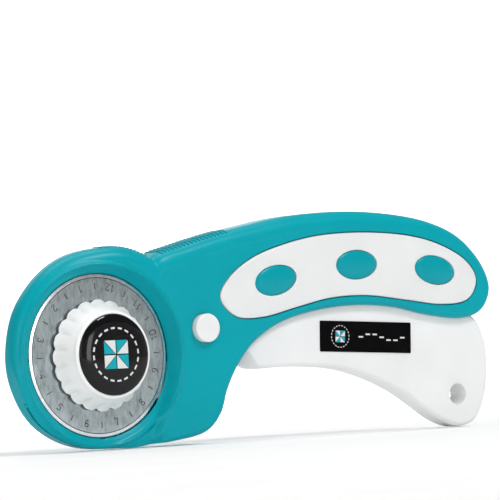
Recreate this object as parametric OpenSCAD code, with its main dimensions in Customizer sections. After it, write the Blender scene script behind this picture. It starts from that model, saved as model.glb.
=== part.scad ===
// Rotary cutter, 45 mm, squeeze-to-cut, sliding cross-bolt lock.
// Upright as it is held: +X runs from the blade to the end of the handle, +Z is up and
// the knob faces -Y. The origin is the middle of the base, under the whole tool.
// Outlines are drawn in the blade's own frame (blade centre at 0, 0) and placed at the end.

/* [Blade] */
// Diameter of the blade
blade_d = 45; // [45:0.5:45.5]
// Thickness of the blade
blade_t = 0.3; // [0.25:0.05:0.35]
// Diameter of the blade's centre hole
blade_bore_d = 8; // [7.8:0.1:8.2]
// Width of the ground bevel at the blade's edge
blade_bevel = 0.8; // [0.5:0.1:1.5]

/* [Case] */
// Front face of the handle, measured from the blade's middle plane
case_front = 4; // [3.8:0.1:4.5]
// Back face of the handle, measured from the blade's middle plane
case_back = 9; // [9:0.1:10]
// Wall thickness of both shells
wall = 2; // [1.8:0.1:2.1]
// Back face of the guard ring
guard_back = 6.5; // [6.3:0.1:7]
// Front face of the guard ring, where it is thinnest
guard_front = 1.3; // [1.1:0.1:2]
// Radius of the window at the blade
window_r = 22.8; // [22.7:0.1:23]
// Radius of the window's outer rim
rim_r = 25; // [24.5:0.1:25.2]
// Radius of the window in the back of the guard
back_window_r = 16.5; // [15.5:0.5:17]

/* [Trigger] */
// Turn of the trigger from released to fully squeezed, in degrees
squeeze = 11.5; // [8:0.5:11.5]
// Thickness of the trigger's grip
lever_t = 8; // [7:0.5:8]
// Thickness of the trigger's arm inside the guard
arm_t = 3.75; // [3:0.25:3.75]
// Diameter of the pivot pin
pin_d = 5; // [4:0.5:5]
// Radial clearance of every running fit
running = 0.05; // [0.03:0.01:0.1]
// Diameter of the hanging hole
hang_d = 6.1; // [5:0.1:7]

/* [Knob and lock] */
// Diameter of the knob where it meets the blade
knob_d = 31; // [30:0.2:32]
// Diameter of the knob at its top
knob_top_d = 24.6; // [24:0.2:26]
// Height of the knob's top above the blade's middle plane
knob_h = 7.9; // [7.5:0.1:8.5]
// Number of finger scallops around the knob
scallops = 20; // [16:1:24]
// Diameter of the lock button
button_d = 8.1; // [7:0.1:8.2]
// Travel of the lock button
button_travel = 1.9; // [1.5:0.1:1.9]

/* [Hidden] */
$fn = 96;
eps = 0.01;

// ---- outlines, as points in the blade's frame: [x, z] ----
guard_pts = [[-27.4, 0], [-24.9, 12], [-18, 21.4], [-8.5, 27.6], [3, 29.9], [13, 28.8],
             [22, 23.5], [28, 13], [29, 0], [25, -14], [17, -24.5], [4, -25.9],
             [-9, -24.5], [-19.6, -18.8], [-25.4, -10]];
case_pts = [[15, 20], [19, 27], [29, 30.1], [40, 32.7], [52, 35], [66, 37.2], [84, 38.1],
            [101, 37.2], [116, 34.6], [127, 30], [134.4, 22.8], [136.9, 14.6], [133.6, 8],
            [126, 5.7], [114, 7], [101, 9.8], [87, 10.8], [73, 9.7], [61, 6.9], [51.5, 2],
            [45, -4.6], [40.8, -11.5], [38.2, -18], [33, -22.7], [24, -24.6], [14, -24.9],
            [9, -20], [9, -6], [12, 8]];
inlay_pts = [[39.3, 14.4], [42.6, 20], [50, 25], [60, 28.5], [74, 31.2], [90, 31.8],
             [106, 30.6], [118, 27.7], [127.5, 22.8], [131.3, 16.8], [127.6, 11],
             [118, 9.9], [105, 11.6], [91, 13.4], [78, 13.1], [66, 10.9], [54, 8.5],
             [44.4, 9]];
lever_pts = [[53.5, -6], [63, -5.9], [73, -6.2], [82, -7.2], [90, -9.2], [98, -12.2],
             [105, -15.7], [111.5, -20], [117.6, -23.7], [124.6, -25.96], [131.2, -23.7],
             [134.7, -17], [136.1, -8], [135.2, 0.5], [130.5, 6.8], [120, 8], [108, 11],
             [96, 13.2], [84, 13.1], [72, 10.8], [60, 7.2], [51.5, 3.6], [47.5, 0],
             [48, -4]];

// ---- places in the blade's frame ----
pivot = [33, -12];
button = [33.4, 6.2];
hang_hole = [124.1, -16.6];
spring_x = 62;
neck_screw_places = [[41, 27], [25.5, -20.8]];
handle_screw_places = [[74, 28.3], [100, 28.6]];
pad_places = [[58.2, 18.8, 10], [87, 22.4, 1], [115.3, 20, -10]];
pad_size = [14.5, 8.3];
decal_place = [91.3, 1.5, -3.2];
decal_size = [32.7, 8.9, 0.2];

// ---- depths along Y, measured from the blade's middle plane, + away from the knob ----
split_y = (case_back - case_front) / 2;
slot_front = -0.35;
slot_back = 0.75;
washer_t = 0.5;
arm_front = blade_t / 2 + washer_t;
arm_back = arm_front + arm_t;
lever_front = split_y - lever_t / 2;
lever_back = split_y + lever_t / 2;
inlay_floor = 1.2;
inlay_proud = 0.4;
pad_proud = 0.3;
zone_r = 27.5;
stem_r = button_d / 2 - 1.05;
neck_w = 5.5;
blade_clear = 0.45;
lever_reach = 103.8;
thread_r = 2.5;
shoulder_r = blade_bore_d / 2 - running;
badge_r = 11.2;
badge_h = 1.3;
badge_sink = 0.5;
screw_r = 1.25;
screw_head_r = 2.2;
screw_head_y = 7.7;
screw_head_h = 1.3;
spring_r = 3;
spring_wire = 0.8;
spring_turns = 6;
spring_low = 9.6;
spring_high = 24;

// ---- smooth closed curve through a few points ----
function curve(a, b, c, d, t) =
    0.5 * (2 * b + (c - a) * t + (2 * a - 5 * b + 4 * c - d) * t * t
           + (3 * b - a - 3 * c + d) * t * t * t);
function loop(p, n = 5) =
    [for (i = [0:len(p) - 1], k = [0:n - 1])
        curve(p[(i + len(p) - 1) % len(p)], p[i], p[(i + 1) % len(p)],
              p[(i + 2) % len(p)], k / n)];
// The same curve moved inward: dir is 1 for a clockwise loop and -1 for the other way
function inset(p, d, dir) =
    [for (i = [0:len(p) - 1])
        let (t = p[(i + 1) % len(p)] - p[(i + len(p) - 1) % len(p)])
        p[i] + dir * d * [t[1], -t[0]] / norm(t)];
function ellipse(size) =
    [for (a = [0:10:350]) [size[0] / 2 * cos(a), size[1] / 2 * sin(a)]];

guard_loop = loop(guard_pts);
case_loop = loop(case_pts);
inlay_loop = loop(inlay_pts);
lever_loop = loop(lever_pts);

// ---- the whole tool's box gives the place of the blade in the tool's frame ----
x_low = min([for (p = guard_loop) p[0]]);
x_high = max([for (p = case_loop) p[0]]);
z_low = min([for (p = concat(guard_loop, case_loop, lever_loop)) p[1]]);
y_low = -knob_h - badge_h;
y_high = case_back + inlay_proud + pad_proud;
blade_at = [-(x_low + x_high) / 2, -(y_low + y_high) / 2, -z_low];

module place() translate(blade_at) children();
// An outline in X and Z, from y0 to y1
module slab(y0, y1) translate([0, y1, 0]) rotate([90, 0, 0]) linear_extrude(y1 - y0) children();
// A round bar along Y at p
module rod(p, y0, y1, r) translate([p[0], y1, p[1]]) rotate([90, 0, 0]) cylinder(h = y1 - y0, r = r);
// A cone along Y at p, r0 at y0 and r1 at y1
module taper(p, y0, y1, r0, r1)
    translate([p[0], y1, p[1]]) rotate([90, 0, 0]) cylinder(h = y1 - y0, r1 = r1, r2 = r0);
// A bar with round ends between two points
module bar(p, q, w) {
    n = [p[1] - q[1], q[0] - p[0]] / norm(q - p) * w / 2;
    polygon([p + n, p - n, q - n, q + n]);
    translate(p) circle(d = w);
    translate(q) circle(d = w);
}
// Turned about the trigger's pivot by an angle, as the trigger turns
module about_pivot(a) translate(pivot) rotate(a) translate(-pivot) children();

module case_2d() polygon(case_loop);
module body_zone() difference() { case_2d(); circle(r = zone_r); }
module head_zone() difference() {
    union() { polygon(guard_loop); case_2d(); }
    body_zone();
}

// Everything the trigger needs to be clear of inside the case
module cavity_2d() difference() {
    union() {
        polygon(inset(case_loop, wall + 0.2, 1));
        intersection() {
            translate(pivot) circle(r = lever_reach + 0.4, $fn = 180);
            polygon([[38, -19], [38, 8], [60, 17], [140, 19], [140, -40], [60, -40]]);
        }
    }
    circle(r = zone_r + wall);
}
module blade_path()
    for (i = [0:4]) {
        c = -pivot;
        a = squeeze * i / 4;
        p = pivot + [c[0] * cos(a) - c[1] * sin(a), c[0] * sin(a) + c[1] * cos(a)];
        rod(p, slot_front, slot_back, blade_d / 2 + blade_clear);
    }
module arm_2d() {
    circle(r = 9);
    bar([0, 0], pivot, 11);
    bar(pivot, button + [1.8, 0], 13);
    bar([34, -6], [52, 3], 8);
}
// The space that the arm sweeps through between the guard's back window and the cavity
module arm_path() slab(0.3, arm_back + 0.35)
    polygon([[8, -17], [26, -17.3], [33, -19.6], [40, -19.6], [40, 17], [26.5, 15],
             [23.3, 11], [23.3, 2], [8, 2]]);
module pads_2d() for (p = pad_places) translate([p[0], p[1]]) rotate(p[2]) polygon(ellipse(pad_size));
module spring_post_2d() translate([spring_x - 4.5, spring_high]) square([9, 11]);

// ---- shells ----
module front_shell() color([0.02, 0.62, 0.68]) place() difference() {
    union() {
        difference() {
            union() {
                slab(-case_front, split_y) body_zone();
                slab(-case_front, slot_front) intersection() { case_2d(); circle(r = zone_r); }
                slab(-guard_front, slot_front) head_zone();
            }
            slab(-case_front + wall, split_y + 1) cavity_2d();
        }
        slab(-case_front + wall - eps, split_y) spring_post_2d();
        for (p = concat(neck_screw_places, handle_screw_places))
            rod(p, -case_front + wall - eps, split_y, screw_r + 1.35);
        rod(pivot, -case_front + wall - eps, arm_front - 0.25, pin_d / 2 + 2.5);
    }
    taper([0, 0], -case_front - 1, slot_front + eps, rim_r + 0.6, window_r);
    blade_path();
    arm_path();
    slab(-case_front - 1, -case_front + inlay_floor) polygon(inlay_loop);
    rod(button, -case_front - 1, 0, button_d / 2 + 0.1);
    rod(pivot, -case_front + 0.8, split_y + 1, pin_d / 2);
    for (p = concat(neck_screw_places, handle_screw_places))
        rod(p, -case_front + wall, split_y + 1, screw_r);
}

module back_shell() color([0.02, 0.60, 0.66]) place() difference() {
    union() {
        difference() {
            union() {
                slab(split_y, case_back) body_zone();
                slab(slot_front, guard_back) head_zone();
            }
            slab(split_y - 1, case_back - wall) cavity_2d();
        }
        slab(split_y, case_back - wall + eps) spring_post_2d();
        for (p = concat(neck_screw_places, handle_screw_places))
            rod(p, split_y, case_back - wall + eps, screw_head_r + 0.65);
        rod(pivot, arm_back + 0.25, case_back - wall + eps, pin_d / 2 + 2.5);
    }
    rod([0, 0], 0, guard_back + 1, back_window_r);
    blade_path();
    arm_path();
    slab(case_back - inlay_floor, case_back + 1) polygon(inlay_loop);
    rod(button, 0, case_back + 1, stem_r + 0.1);
    rod(pivot, 0, case_back - 0.8, pin_d / 2);
    for (p = concat(neck_screw_places, handle_screw_places)) {
        rod(p, 0, case_back + 1, screw_r + 0.1);
        rod(p, screw_head_y - screw_head_h, case_back + 1, screw_head_r + 0.15);
    }
}

// ---- grip inlays and their pads ----
module inlay(y0, y1) place() difference() {
    slab(y0, y1) polygon(inset(inlay_loop, 0.1, 1));
    slab(y0 - 1, y1 + 1) pads_2d();
}
module front_grip_inlay() color([0.93, 0.94, 0.94])
    inlay(-case_front - inlay_proud, -case_front + inlay_floor);
module back_grip_inlay() color([0.93, 0.94, 0.94])
    inlay(case_back - inlay_floor, case_back + inlay_proud);
module front_grip_pads() color([0.02, 0.62, 0.68])
    place() slab(-case_front - inlay_proud - pad_proud, -case_front + inlay_floor) pads_2d();
module back_grip_pads() color([0.02, 0.62, 0.68])
    place() slab(case_back - inlay_floor, case_back + inlay_proud + pad_proud) pads_2d();

// ---- trigger ----
module trigger_lever() color([0.93, 0.94, 0.94]) place() difference() {
    union() {
        slab(lever_front, lever_back) polygon(lever_loop);
        slab(lever_front, lever_back)
            polygon([[57, 0], [57, spring_low], [67, spring_low], [67, 0]]);
        slab(arm_front, arm_back) arm_2d();
    }
    slab(arm_front - 1, arm_back + 1) bar(button, button + [3.8, 0], 2 * stem_r + 1);
    translate([-neck_w / 2 - running, arm_front - 1, -neck_w / 2 - running])
        cube([neck_w + 2 * running, arm_t + 2, neck_w + 2 * running]);
    rod(pivot, arm_front - 1, arm_back + 1, pin_d / 2 + running);
    rod(hang_hole, lever_front - 1, lever_back + 1, hang_d / 2);
}
module lever_decal() color([0.05, 0.05, 0.06]) place()
    slab(lever_front - decal_size[2], lever_front)
        translate([decal_place[0], decal_place[1]]) rotate(decal_place[2])
            square([decal_size[0], decal_size[1]], center = true);
module pivot_pin() color([0.7, 0.71, 0.73])
    place() rod(pivot, -case_front + 0.8, case_back - 0.8, pin_d / 2);

// Coil spring: a round wire swept along a helix, with six sides
function coil_ring(u, low, high) =
    let (a = 360 * spring_turns * u, z = low + (high - low) * u)
    [for (k = [0:5])
        let (c = spring_wire / 2 * cos(60 * k), s = spring_wire / 2 * sin(60 * k))
        [(spring_r + c) * cos(a), (spring_r + c) * sin(a), z + s]];
module return_spring() color([0.62, 0.63, 0.65]) place() {
    steps = spring_turns * 16;
    low = spring_low + spring_wire / 2 + 0.1;
    high = spring_high - spring_wire / 2 - 0.1;
    rings = [for (i = [0:steps]) coil_ring(i / steps, low, high)];
    points = [for (r = rings) each r];
    sides = [for (i = [0:steps - 1], k = [0:5])
        [i * 6 + k, (i + 1) * 6 + k, (i + 1) * 6 + (k + 1) % 6, i * 6 + (k + 1) % 6]];
    ends = [[for (k = [0:5]) k], [for (k = [5:-1:0]) steps * 6 + k]];
    translate([spring_x, split_y, 0]) polyhedron(points, concat(sides, ends), convexity = 8);
}

// ---- lock ----
module lock_button() color([0.93, 0.94, 0.94]) place() {
    flange_y = -case_front + wall + 0.05;
    rod(button, -case_front - button_travel - 0.05, flange_y, button_d / 2);
    rod(button, flange_y - eps, flange_y + 0.6, button_d / 2 + 0.35);
    rod(button, flange_y + 0.6 - eps, case_back - button_travel + 0.3, stem_r);
}
// A split ring that grips the button's stem, against the inside of the back wall
module lock_detent_spring() color([0.62, 0.63, 0.65]) place() difference() {
    y = case_back - wall - 0.02;
    rod(button, y - 0.5, y, stem_r + 1.4);
    rod(button, y - 1, y + 1, stem_r + running);
    slab(y - 1, y + 1) translate([button[0] - 1, button[1] - 7]) square([2, 7]);
}

// ---- blade and spindle ----
module blade() color([0.72, 0.73, 0.75]) place() rotate([90, 0, 0]) rotate_extrude()
    polygon([[blade_bore_d / 2, -blade_t / 2], [blade_d / 2 - blade_bevel, -blade_t / 2],
             [blade_d / 2, -0.02], [blade_d / 2, 0.02],
             [blade_d / 2 - blade_bevel, blade_t / 2], [blade_bore_d / 2, blade_t / 2]]);
module blade_washer() color([0.66, 0.67, 0.69]) place() difference() {
    rod([0, 0], blade_t / 2 + 0.02, arm_front, 8.5);
    rod([0, 0], 0, 1, shoulder_r + 0.02);
}
// Spring washer with three waves
function wave_ring(a) =
    let (w = -blade_t / 2 - 0.29 + 0.12 * sin(3 * a))
    [for (q = [[shoulder_r + 0.25, -0.12], [7.2, -0.12], [7.2, 0.12], [shoulder_r + 0.25, 0.12]])
        [q[0] * cos(a), w + q[1], q[0] * sin(a)]];
module wave_washer() color([0.66, 0.67, 0.69]) place() {
    steps = 36;
    points = [for (i = [0:steps - 1]) each wave_ring(360 * i / steps)];
    faces = [for (i = [0:steps - 1], k = [0:3])
        let (j = (i + 1) % steps)
        [i * 4 + k, i * 4 + (k + 1) % 4, j * 4 + (k + 1) % 4, j * 4 + k]];
    polyhedron(points, faces, convexity = 6);
}
module spindle_bolt() color([0.7, 0.71, 0.73]) place() difference() {
    union() {
        rod([0, 0], arm_back, arm_back + 1.5, 6.5);
        translate([-neck_w / 2, 0, -neck_w / 2]) cube([neck_w, arm_back + eps, neck_w]);
        rod([0, 0], -0.7, arm_front, shoulder_r);
        rod([0, 0], -knob_h + 1.3, -0.7 + eps, thread_r);
    }
    translate([-7, arm_back + 0.9, -0.6]) cube([14, 1, 1.2]);
}
module knob() color([0.95, 0.95, 0.95]) place() difference() {
    base_y = -blade_t / 2 - 0.7;
    taper([0, 0], -knob_h, base_y, knob_top_d / 2, knob_d / 2);
    for (i = [0:scallops - 1]) {
        a = 360 * (i + 0.5) / scallops;
        reach = knob_d / 2 + 0.7;
        rod(reach * [cos(a), sin(a)], -knob_h - 1, base_y + 1, 1.5);
    }
    rod([0, 0], base_y - 0.3, base_y + 1, 8);
    rod([0, 0], -knob_h + 0.9, 0, thread_r + 0.1);
    translate([0, base_y, 0]) rotate([90, 0, 0]) cylinder(h = 5.25, r = 4.62, $fn = 6);
    rod([0, 0], -knob_h - 1, -knob_h + badge_sink, badge_r + 0.05);
}
module knob_nut() color([0.78, 0.62, 0.30]) place() difference() {
    translate([0, -1, 0]) rotate([90, 0, 0]) cylinder(h = 5.1, r = 4.62, $fn = 6);
    rod([0, 0], -8, 0, thread_r + running);
}
module knob_badge() color([0.04, 0.04, 0.05]) place() {
    ball_r = (badge_r * badge_r + badge_h * badge_h) / (2 * badge_h);
    edge = asin(badge_r / ball_r);
    arc = [for (i = [0:8])
        let (a = edge * (1 - i / 8))
        [ball_r * sin(a), knob_h + badge_h - ball_r + ball_r * cos(a)]];
    rotate([90, 0, 0]) rotate_extrude() polygon(concat(
        [[0, knob_h - badge_sink], [badge_r, knob_h - badge_sink]], arc));
}

// ---- screws that close the case ----
module screw(p) difference() {
    union() {
        rod(p, screw_head_y - screw_head_h, screw_head_y, screw_head_r);
        rod(p, -case_front + wall + 0.6, screw_head_y - screw_head_h + eps, screw_r);
    }
    for (a = [0, 90])
        translate([p[0], screw_head_y, p[1]]) rotate([0, a, 0]) cube([2.6, 1.4, 0.5], center = true);
}
module handle_screws() color([0.6, 0.61, 0.63]) place() for (p = handle_screw_places) screw(p);
module neck_screws() color([0.6, 0.61, 0.63]) place() for (p = neck_screw_places) screw(p);

front_shell();
back_shell();
front_grip_inlay();
back_grip_inlay();
front_grip_pads();
back_grip_pads();
trigger_lever();
lever_decal();
pivot_pin();
return_spring();
lock_button();
lock_detent_spring();
blade();
blade_washer();
wave_washer();
spindle_bolt();
knob();
knob_nut();
knob_badge();
handle_screws();
neck_screws();
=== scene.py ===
"""A squeeze-trigger rotary cutter: its looks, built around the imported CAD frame.

Shapes are worked out in millimetres in the blade's frame, whose origin is the blade's centre:
x runs to the end of the handle, y away from the knob and z up. to_world() places them.
"""
import math
from functools import partial
from itertools import product

import bmesh
import bpy
import numpy as np
from mathutils import Matrix, Vector


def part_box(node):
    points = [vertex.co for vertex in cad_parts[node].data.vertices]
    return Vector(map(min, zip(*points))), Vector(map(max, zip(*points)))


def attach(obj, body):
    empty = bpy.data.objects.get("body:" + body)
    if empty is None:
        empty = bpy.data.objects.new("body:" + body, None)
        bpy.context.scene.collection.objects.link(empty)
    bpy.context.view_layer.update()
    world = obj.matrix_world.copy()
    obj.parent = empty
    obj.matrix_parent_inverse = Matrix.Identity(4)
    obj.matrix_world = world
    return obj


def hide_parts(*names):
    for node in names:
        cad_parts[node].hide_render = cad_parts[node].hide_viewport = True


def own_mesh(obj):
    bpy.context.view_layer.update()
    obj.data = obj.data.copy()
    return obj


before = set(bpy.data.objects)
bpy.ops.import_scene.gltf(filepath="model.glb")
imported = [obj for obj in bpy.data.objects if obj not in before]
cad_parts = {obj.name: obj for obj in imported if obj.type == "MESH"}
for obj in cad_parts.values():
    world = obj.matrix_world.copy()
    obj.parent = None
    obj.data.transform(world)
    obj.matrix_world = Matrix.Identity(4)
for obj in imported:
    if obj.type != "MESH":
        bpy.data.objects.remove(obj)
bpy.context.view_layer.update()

MM = 0.001
blade_low, blade_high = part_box("blade")
BLADE_CENTRE = np.array((blade_low + blade_high) / 2)

# ---------------------------------------------------------------- sizes, mm
BLADE_R = 22.5
BLADE_T = 0.3
BEVEL = 1.05
# Width of a band on the blade's knob side, where the bevel starts, that is painted dark as shade.
PAINTED_SHADE_BAND = 0.25
CASE_FRONT, CASE_BACK = -4.0, 9.0
SPLIT = 2.5
GUARD_BACK = 6.5
GUARD_FRONT_H = 1.25
LIP_H = 0.62
WINDOW_R, RIM_R = 22.8, 25.0
STEP_FOOT, STEP_LEAN = (17.6, -23.3), 0.36
STEP_WIDTH, BLEND_WIDTH = 2.4, 28
RIM_BEAD_H, RIM_BEAD_W = 0.6, 0.55
STEP_BEAD_H, STEP_BEAD_W = 0.25, 0.7
CREST_BEAD_H, CREST_BEAD_W = 0.16, 0.8
BACK_WINDOW_R = 16.5
SLOT_FRONT, SLOT_BACK = -0.35, 0.75
BLADE_GAP = 0.45
ARM_GAP_FRONT, ARM_GAP = 0.3, 0.35
WALL = 2.0
CAVITY_GAP = 0.2
ZONE_R = 27.5
INLAY_DEPTH, INLAY_SEAM = 1.2, 0.22
PIVOT = (33.0, -12.0)
PIN_HOLE_R = 2.55
BUTTON = (33.4, 6.2)
BUTTON_R = 4.05
BUTTON_TRAVEL = 1.9
FLANGE_R = BUTTON_R + 0.35
STEM_R = BUTTON_R - 1.05
BUTTON_HOLE_GAP, STEM_HOLE_GAP = 0.2, 0.1
SQUEEZE = 11.5
LEVER_REACH = 104.2
LEVER_FRONT, LEVER_BACK = -1.5, 6.5
FACET_AT, FACET_WAY = (50.1, -1), (0.798, 0.603)
FACET_SLOPE, FACET_SCALE = 0.85, 0.76
ARM_FRONT, ARM_BACK = 0.65, 4.4
ARM_WIDTH, ARM_HUB_R, ARM_HEEL_WIDTH, ARM_TAIL_WIDTH = 11, 9, 13, 8
BUTTON_SLOT = (3.8, 7)
SPRING_X = 62.0
SPRING_LOW, SPRING_HIGH = 9.6, 24.0
HANG_HOLE = (124.1, -16.6)
HANG_R = 3.05
KNOB_BASE, KNOB_TOP = -0.85, -7.9
KNOB_R, KNOB_TOP_R = 15.5, 12.3
SCALLOPS = 20
BADGE_R = 11.2
BADGE_H = 1.25
PADS = [(58.2, 18.8, 10), (87.0, 22.4, 1), (115.3, 20.0, -10)]
PAD_SIZE = (14.5, 8.3)
DECAL = (91.3, 1.5, -3.2)
DECAL_SIZE = (32.7, 8.9)
SCREWS = [(41.0, 27.0), (25.5, -20.8)]
SCREW_SINK_R = 2.35

GUARD_PTS = [(-27.4, 0), (-24.9, 12), (-18, 21.4), (-8.5, 27.6), (3, 29.9), (13, 28.8),
             (22, 23.5), (28, 13), (29, 0), (25, -14), (17, -24.5), (4, -25.9),
             (-9, -24.5), (-19.6, -18.8), (-25.4, -10)]
CASE_PTS = [(15, 20), (19, 27), (29, 30.1), (40, 32.7), (52, 35), (66, 37.2), (84, 38.1),
            (101, 37.2), (116, 34.6), (127, 30), (134.4, 22.8), (136.9, 14.6), (133.6, 8),
            (126, 5.7), (114, 7), (101, 9.8), (87, 10.8), (73, 9.7), (61, 6.9), (51.5, 2),
            (45, -4.6), (40.8, -11.5), (38.2, -18), (33, -22.7), (24, -24.6), (14, -24.9),
            (9, -20), (9, -6), (12, 8)]
INLAY_PTS = [(39.3, 14.4), (42.6, 20), (50, 25), (60, 28.5), (74, 31.2), (90, 31.8),
             (106, 30.6), (118, 27.7), (127.5, 22.8), (131.3, 16.8), (127.6, 11),
             (118, 9.9), (105, 11.6), (91, 13.4), (78, 13.1), (66, 10.9), (54, 8.5),
             (44.4, 9)]
LEVER_PTS = [(53.5, -6), (63, -5.9), (73, -6.2), (82, -7.2), (90, -9.2), (98, -12.2),
             (105, -15.7), (111.5, -20), (117.6, -23.7), (124.6, -25.96), (131.2, -23.7),
             (134.7, -17), (136.1, -8), (135.2, 0.5), (130.5, 6.8), (120, 8), (108, 11),
             (96, 13.2), (84, 13.1), (72, 10.8), (60, 7.2), (51.5, 3.6), (47.5, 0), (48, -4)]
SLOT_PTS = [(38, -19), (38, 8), (60, 17), (140, 19), (140, -40), (60, -40)]
ARM_PATH_PTS = [(8, -17), (26, -17.3), (33, -19.6), (40, -19.6), (40, 17), (26.5, 15),
                (23.3, 11), (23.3, 2), (8, 2)]


# ---------------------------------------------------------------- distance fields
def smooth(a):
    a = np.clip(a, 0, 1)
    return a * a * (3 - 2 * a)


def blend_min(a, b, k):
    h = np.clip(0.5 + 0.5 * (b - a) / k, 0, 1)
    return b * (1 - h) + a * h - k * h * (1 - h)


def round_max(a, b, r):
    """Where two solids overlap, with their shared edge rounded to radius r."""
    u = np.maximum(a + r, 0)
    v = np.maximum(b + r, 0)
    return np.minimum(np.maximum(a, b), -r) + np.hypot(u, v)


def closed_curve(points, steps=14):
    """A smooth closed curve (Catmull-Rom) through a few points."""
    p = np.array(points, float)
    a, b, c, d = np.roll(p, 1, 0), p, np.roll(p, -1, 0), np.roll(p, -2, 0)
    rows = []
    for t in np.arange(steps) / steps:
        rows.append(0.5 * (2 * b + (c - a) * t + (2 * a - 5 * b + 4 * c - d) * t * t
                           + (3 * b - a - 3 * c + d) * t ** 3))
    return np.stack(rows, 1).reshape(-1, 2)


def outline_distance(outline, x, z):
    """Signed distance to a closed outline, negative inside."""
    x1, z1 = outline[:, 0], outline[:, 1]
    dx, dz = np.roll(x1, -1) - x1, np.roll(z1, -1) - z1
    z2 = z1 + dz
    out = np.empty(x.size)
    flat_x, flat_z = x.ravel(), z.ravel()
    for i in range(0, x.size, 20000):
        px, pz = flat_x[i:i + 20000, None] - x1, flat_z[i:i + 20000, None] - z1
        t = np.clip((px * dx + pz * dz) / (dx * dx + dz * dz), 0, 1)
        near = np.sqrt(((px - t * dx) ** 2 + (pz - t * dz) ** 2).min(1))
        over = flat_z[i:i + 20000, None]
        spans = (z1 > over) != (z2 > over)
        left = px < dx * pz / np.where(dz == 0, 1e-9, dz)
        inside = (spans & left).sum(1) % 2 == 1
        out[i:i + 20000] = np.where(inside, -near, near)
    return out.reshape(x.shape)


class Field:
    """Signed distance to an outline, kept on a grid and read back as a smooth surface."""

    def __init__(self, outline, margin=5.0, step=0.3):
        self.low = outline.min(0) - margin
        self.step = step
        size = np.ceil((outline.max(0) + margin - self.low) / step).astype(int) + 1
        xs = self.low[0] + step * np.arange(size[0])
        zs = self.low[1] + step * np.arange(size[1])
        self.grid = outline_distance(outline, *np.meshgrid(xs, zs, indexing="ij"))

    def __call__(self, x, z):
        x, z = np.broadcast_arrays(x, z)
        u = (x - self.low[0]) / self.step
        v = (z - self.low[1]) / self.step
        cu = np.clip(u, 1, self.grid.shape[0] - 2.001)
        cv = np.clip(v, 1, self.grid.shape[1] - 2.001)
        beyond = np.hypot(u - cu, v - cv) * self.step
        iu, iv = np.floor(cu).astype(int), np.floor(cv).astype(int)
        wu, wv = self._weights(cu - iu), self._weights(cv - iv)
        total = 0
        for a, b in product(range(4), range(4)):
            ia = np.minimum(iu + a - 1, self.grid.shape[0] - 1)
            ib = np.minimum(iv + b - 1, self.grid.shape[1] - 1)
            total = total + wu[a] * wv[b] * self.grid[ia, ib]
        return total + beyond

    @staticmethod
    def _weights(t):
        return ((-t + 2 * t * t - t ** 3) / 2, (2 - 5 * t * t + 3 * t ** 3) / 2,
                (t + 4 * t * t - 3 * t ** 3) / 2, (t ** 3 - t * t) / 2)


def bar_distance(x, z, p, q, width):
    px, pz = x - p[0], z - p[1]
    dx, dz = q[0] - p[0], q[1] - p[1]
    t = np.clip((px * dx + pz * dz) / (dx * dx + dz * dz), 0, 1)
    return np.hypot(px - t * dx, pz - t * dz) - width / 2


def oval_distance(x, z, place, size):
    c, s = math.cos(math.radians(place[2])), math.sin(math.radians(place[2]))
    u = ((x - place[0]) * c + (z - place[1]) * s) / (size[0] / 2)
    v = ((z - place[1]) * c - (x - place[0]) * s) / (size[1] / 2)
    k = np.hypot(u, v)
    slope = np.hypot(u / (size[0] / 2), v / (size[1] / 2))
    return k * (k - 1) / np.maximum(slope, 1e-6)


def turned(point, degrees):
    """A point turned about the trigger's pivot."""
    a = math.radians(degrees)
    dx, dz = point[0] - PIVOT[0], point[1] - PIVOT[1]
    return (PIVOT[0] + dx * math.cos(a) - dz * math.sin(a),
            PIVOT[1] + dx * math.sin(a) + dz * math.cos(a))


# ---------------------------------------------------------------- meshes from fields
SHARP_DEGREES = 38


def gradient(f, p, h=0.01):
    g = np.empty_like(p)
    for axis in range(3):
        step = np.zeros(3)
        step[axis] = h
        g[:, axis] = (f(*(p + step).T) - f(*(p - step).T)) / (2 * h)
    return g


def crossing(f, start, axis, length, f_start, f_end):
    """Where f is 0 along straight edges, by false position."""
    t_start, t_end = np.zeros(len(start)), np.ones(len(start))
    was_inside = f_start < 0
    point = start.copy()
    for trial in range(5):
        t = t_start + (t_end - t_start) * f_start / (f_start - f_end)
        point[:, axis] = start[:, axis] + t * length
        here = f(*point.T)
        same = (here < 0) == was_inside
        t_start, t_end = np.where(same, t, t_start), np.where(same, t_end, t)
        f_start, f_end = np.where(same, here, f_start), np.where(same, f_end, here)
    return point


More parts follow.
